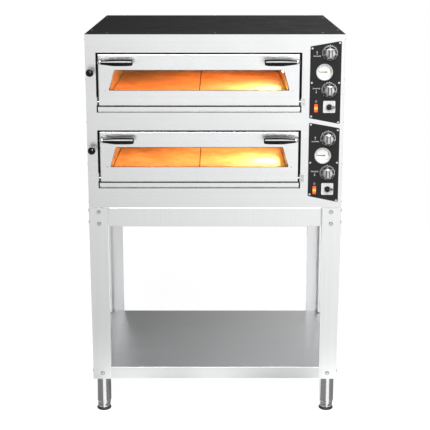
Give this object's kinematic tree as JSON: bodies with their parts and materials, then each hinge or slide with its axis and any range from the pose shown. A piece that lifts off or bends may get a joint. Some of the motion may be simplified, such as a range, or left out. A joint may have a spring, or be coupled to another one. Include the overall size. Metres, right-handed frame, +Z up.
{
  "type": "twin-deck electric pizza oven on an open stand",
  "caption": "Stacked electric pizza oven with drop-down glazed doors, dial controls and vent pulls, on an open steel stand with shelf and levelling feet.",
  "frame": {"origin": "under the middle of the bounding box, on the floor the feet stand on", "axes": "+X to the right as seen by the user, +Y from the doors to the back, +Z up"},
  "size_m": [1.01, 0.995, 1.559],
  "materials": {
    "brushed_panel": "horizontal brushed stainless sheet",
    "stand_steel": "satin stainless sheet",
    "shelf_steel": "satin stainless sheet, lightly used",
    "door_steel": "fine brushed stainless sheet",
    "black_cover": "satin black powder coat",
    "dark_enamel": "heat-darkened enamel",
    "chamber_steel": "heat-tinted steel",
    "stone": "refractory stone",
    "element_alloy": "oxidised heating element sheath",
    "fibre_blanket": "ceramic fibre blanket",
    "window_glass": "clear tempered glass",
    "gasket_fibre": "woven heat gasket",
    "chrome": "polished",
    "bolt_steel": "plated domed bolt",
    "black_grip": "glossy black phenolic",
    "control_black": "glossy black panel with white print",
    "knob_body": "black knob with a silver cap",
    "gauge_metal": "pressed bezel with a white dial",
    "lens_glass": "clear lens",
    "needle_black": "matt black",
    "switch_white": "white switch plate",
    "switch_grey": "dark grey handle",
    "amber_lens": "lit amber lens",
    "galvanised": "galvanised sheet",
    "gland_black": "moulded nylon",
    "lamp_glass": "lamp glass"
  },
  "bodies": {
    "stand_and_casing": {"front_legs": "stand_steel", "rear_legs": "stand_steel", "cross_rails": "stand_steel", "side_rails": "stand_steel", "shelf": "shelf_steel", "stand_bolts": "bolt_steel", "foot_sockets": "chrome", "fascia": "brushed_panel", "side_panel_left": "brushed_panel", "side_panel_right": "brushed_panel", "rear_panel": "galvanised", "base_pan": "galvanised", "top_cover": "black_cover", "casing_screws": "bolt_steel", "mouth_frames": "dark_enamel", "sills": "door_steel", "door_gaskets": "gasket_fibre", "chamber_liners": "chamber_steel", "hearth_stones": "stone", "heating_elements": "element_alloy", "insulation": "fibre_blanket", "lamp_housings": "galvanised", "lamp_glasses": "lamp_glass", "flue_ducts": "galvanised", "cable_gland": "gland_black", "hinge_brackets": "bolt_steel", "control_screws": "bolt_steel", "thermostat_bodies": "galvanised", "gauge_cases": "gauge_metal", "gauge_lenses": "lens_glass", "cam_switches": "switch_white", "pilot_lamps": "amber_lens", "control_plate_upper": "control_black", "control_plate_lower": "control_black"},
    "door_upper": {"door_panel_upper": "door_steel", "door_inner_upper": "dark_enamel", "door_glass_upper": "window_glass", "door_grips_upper": "black_grip", "door_fittings_upper": "chrome"},
    "vent_upper": {"vent_knob_upper": "black_grip", "vent_rod_upper": "chrome"},
    "knob_upper_top": {"thermostat_knob_upper_top": "knob_body"},
    "knob_upper_bottom": {"thermostat_knob_upper_bottom": "knob_body"},
    "needle_upper": {"gauge_needle_upper": "needle_black"},
    "handle_upper": {"switch_handle_upper": "switch_grey"},
    "door_lower": {"door_panel_lower": "door_steel", "door_inner_lower": "dark_enamel", "door_glass_lower": "window_glass", "door_grips_lower": "black_grip", "door_fittings_lower": "chrome"},
    "vent_lower": {"vent_knob_lower": "black_grip", "vent_rod_lower": "chrome"},
    "knob_lower_top": {"thermostat_knob_lower_top": "knob_body"},
    "knob_lower_bottom": {"thermostat_knob_lower_bottom": "knob_body"},
    "needle_lower": {"gauge_needle_lower": "needle_black"},
    "handle_lower": {"switch_handle_lower": "switch_grey"},
    "foot_front_left": {"foot_front_left": "chrome"},
    "foot_rear_left": {"foot_rear_left": "chrome"},
    "foot_front_right": {"foot_front_right": "chrome"},
    "foot_rear_right": {"foot_rear_right": "chrome"}
  },
  "joints": [
    {"name": "door_upper_fold", "type": "hinge", "parent": "stand_and_casing", "child": "door_upper", "pos_m": [-0.062, -0.4245, 1.293], "axis": [1, 0, 0], "range_deg": [0, 90]},
    {"name": "damper_upper_pull", "type": "slide", "parent": "stand_and_casing", "child": "vent_upper", "axis": [0, -1, 0], "range_m": [0, 0.05]},
    {"name": "thermostat_upper_top_turn", "type": "hinge", "parent": "stand_and_casing", "child": "knob_upper_top", "pos_m": [0.442, -0.4325, 1.4835], "axis": [0, 1, 0], "range_deg": [0, 270]},
    {"name": "thermostat_upper_bottom_turn", "type": "hinge", "parent": "stand_and_casing", "child": "knob_upper_bottom", "pos_m": [0.442, -0.4325, 1.3405], "axis": [0, 1, 0], "range_deg": [0, 270]},
    {"name": "gauge_needle_upper_swing", "type": "hinge", "parent": "stand_and_casing", "child": "needle_upper", "pos_m": [0.422, -0.4325, 1.4105], "axis": [0, 1, 0], "range_deg": [-45, 225]},
    {"name": "main_switch_upper_turn", "type": "hinge", "parent": "stand_and_casing", "child": "handle_upper", "pos_m": [0.443, -0.4325, 1.275], "axis": [0, 1, 0], "range_deg": [-90, 0]},
    {"name": "door_lower_fold", "type": "hinge", "parent": "stand_and_casing", "child": "door_lower", "pos_m": [-0.062, -0.4245, 0.99], "axis": [1, 0, 0], "range_deg": [0, 90]},
    {"name": "damper_lower_pull", "type": "slide", "parent": "stand_and_casing", "child": "vent_lower", "axis": [0, -1, 0], "range_m": [0, 0.05]},
    {"name": "thermostat_lower_top_turn", "type": "hinge", "parent": "stand_and_casing", "child": "knob_lower_top", "pos_m": [0.442, -0.4325, 1.1495], "axis": [0, 1, 0], "range_deg": [0, 270]},
    {"name": "thermostat_lower_bottom_turn", "type": "hinge", "parent": "stand_and_casing", "child": "knob_lower_bottom", "pos_m": [0.442, -0.4325, 1.0123], "axis": [0, 1, 0], "range_deg": [0, 270]},
    {"name": "gauge_needle_lower_swing", "type": "hinge", "parent": "stand_and_casing", "child": "needle_lower", "pos_m": [0.422, -0.4325, 1.0823], "axis": [0, 1, 0], "range_deg": [-45, 225]},
    {"name": "main_switch_lower_turn", "type": "hinge", "parent": "stand_and_casing", "child": "handle_lower", "pos_m": [0.443, -0.4325, 0.9476], "axis": [0, 1, 0], "range_deg": [-90, 0]},
    {"name": "screw_foot_front_left", "type": "hinge", "parent": "stand_and_casing", "child": "foot_front_left", "pos_m": [-0.462, -0.4005, 0.02], "axis": [0, 0, 1], "continuous": true},
    {"name": "screw_foot_rear_left", "type": "hinge", "parent": "stand_and_casing", "child": "foot_rear_left", "pos_m": [-0.462, 0.2115, 0.02], "axis": [0, 0, 1], "continuous": true},
    {"name": "screw_foot_front_right", "type": "hinge", "parent": "stand_and_casing", "child": "foot_front_right", "pos_m": [0.462, -0.4005, 0.02], "axis": [0, 0, 1], "continuous": true},
    {"name": "screw_foot_rear_right", "type": "hinge", "parent": "stand_and_casing", "child": "foot_rear_right", "pos_m": [0.462, 0.2115, 0.02], "axis": [0, 0, 1], "continuous": true}
  ]
}
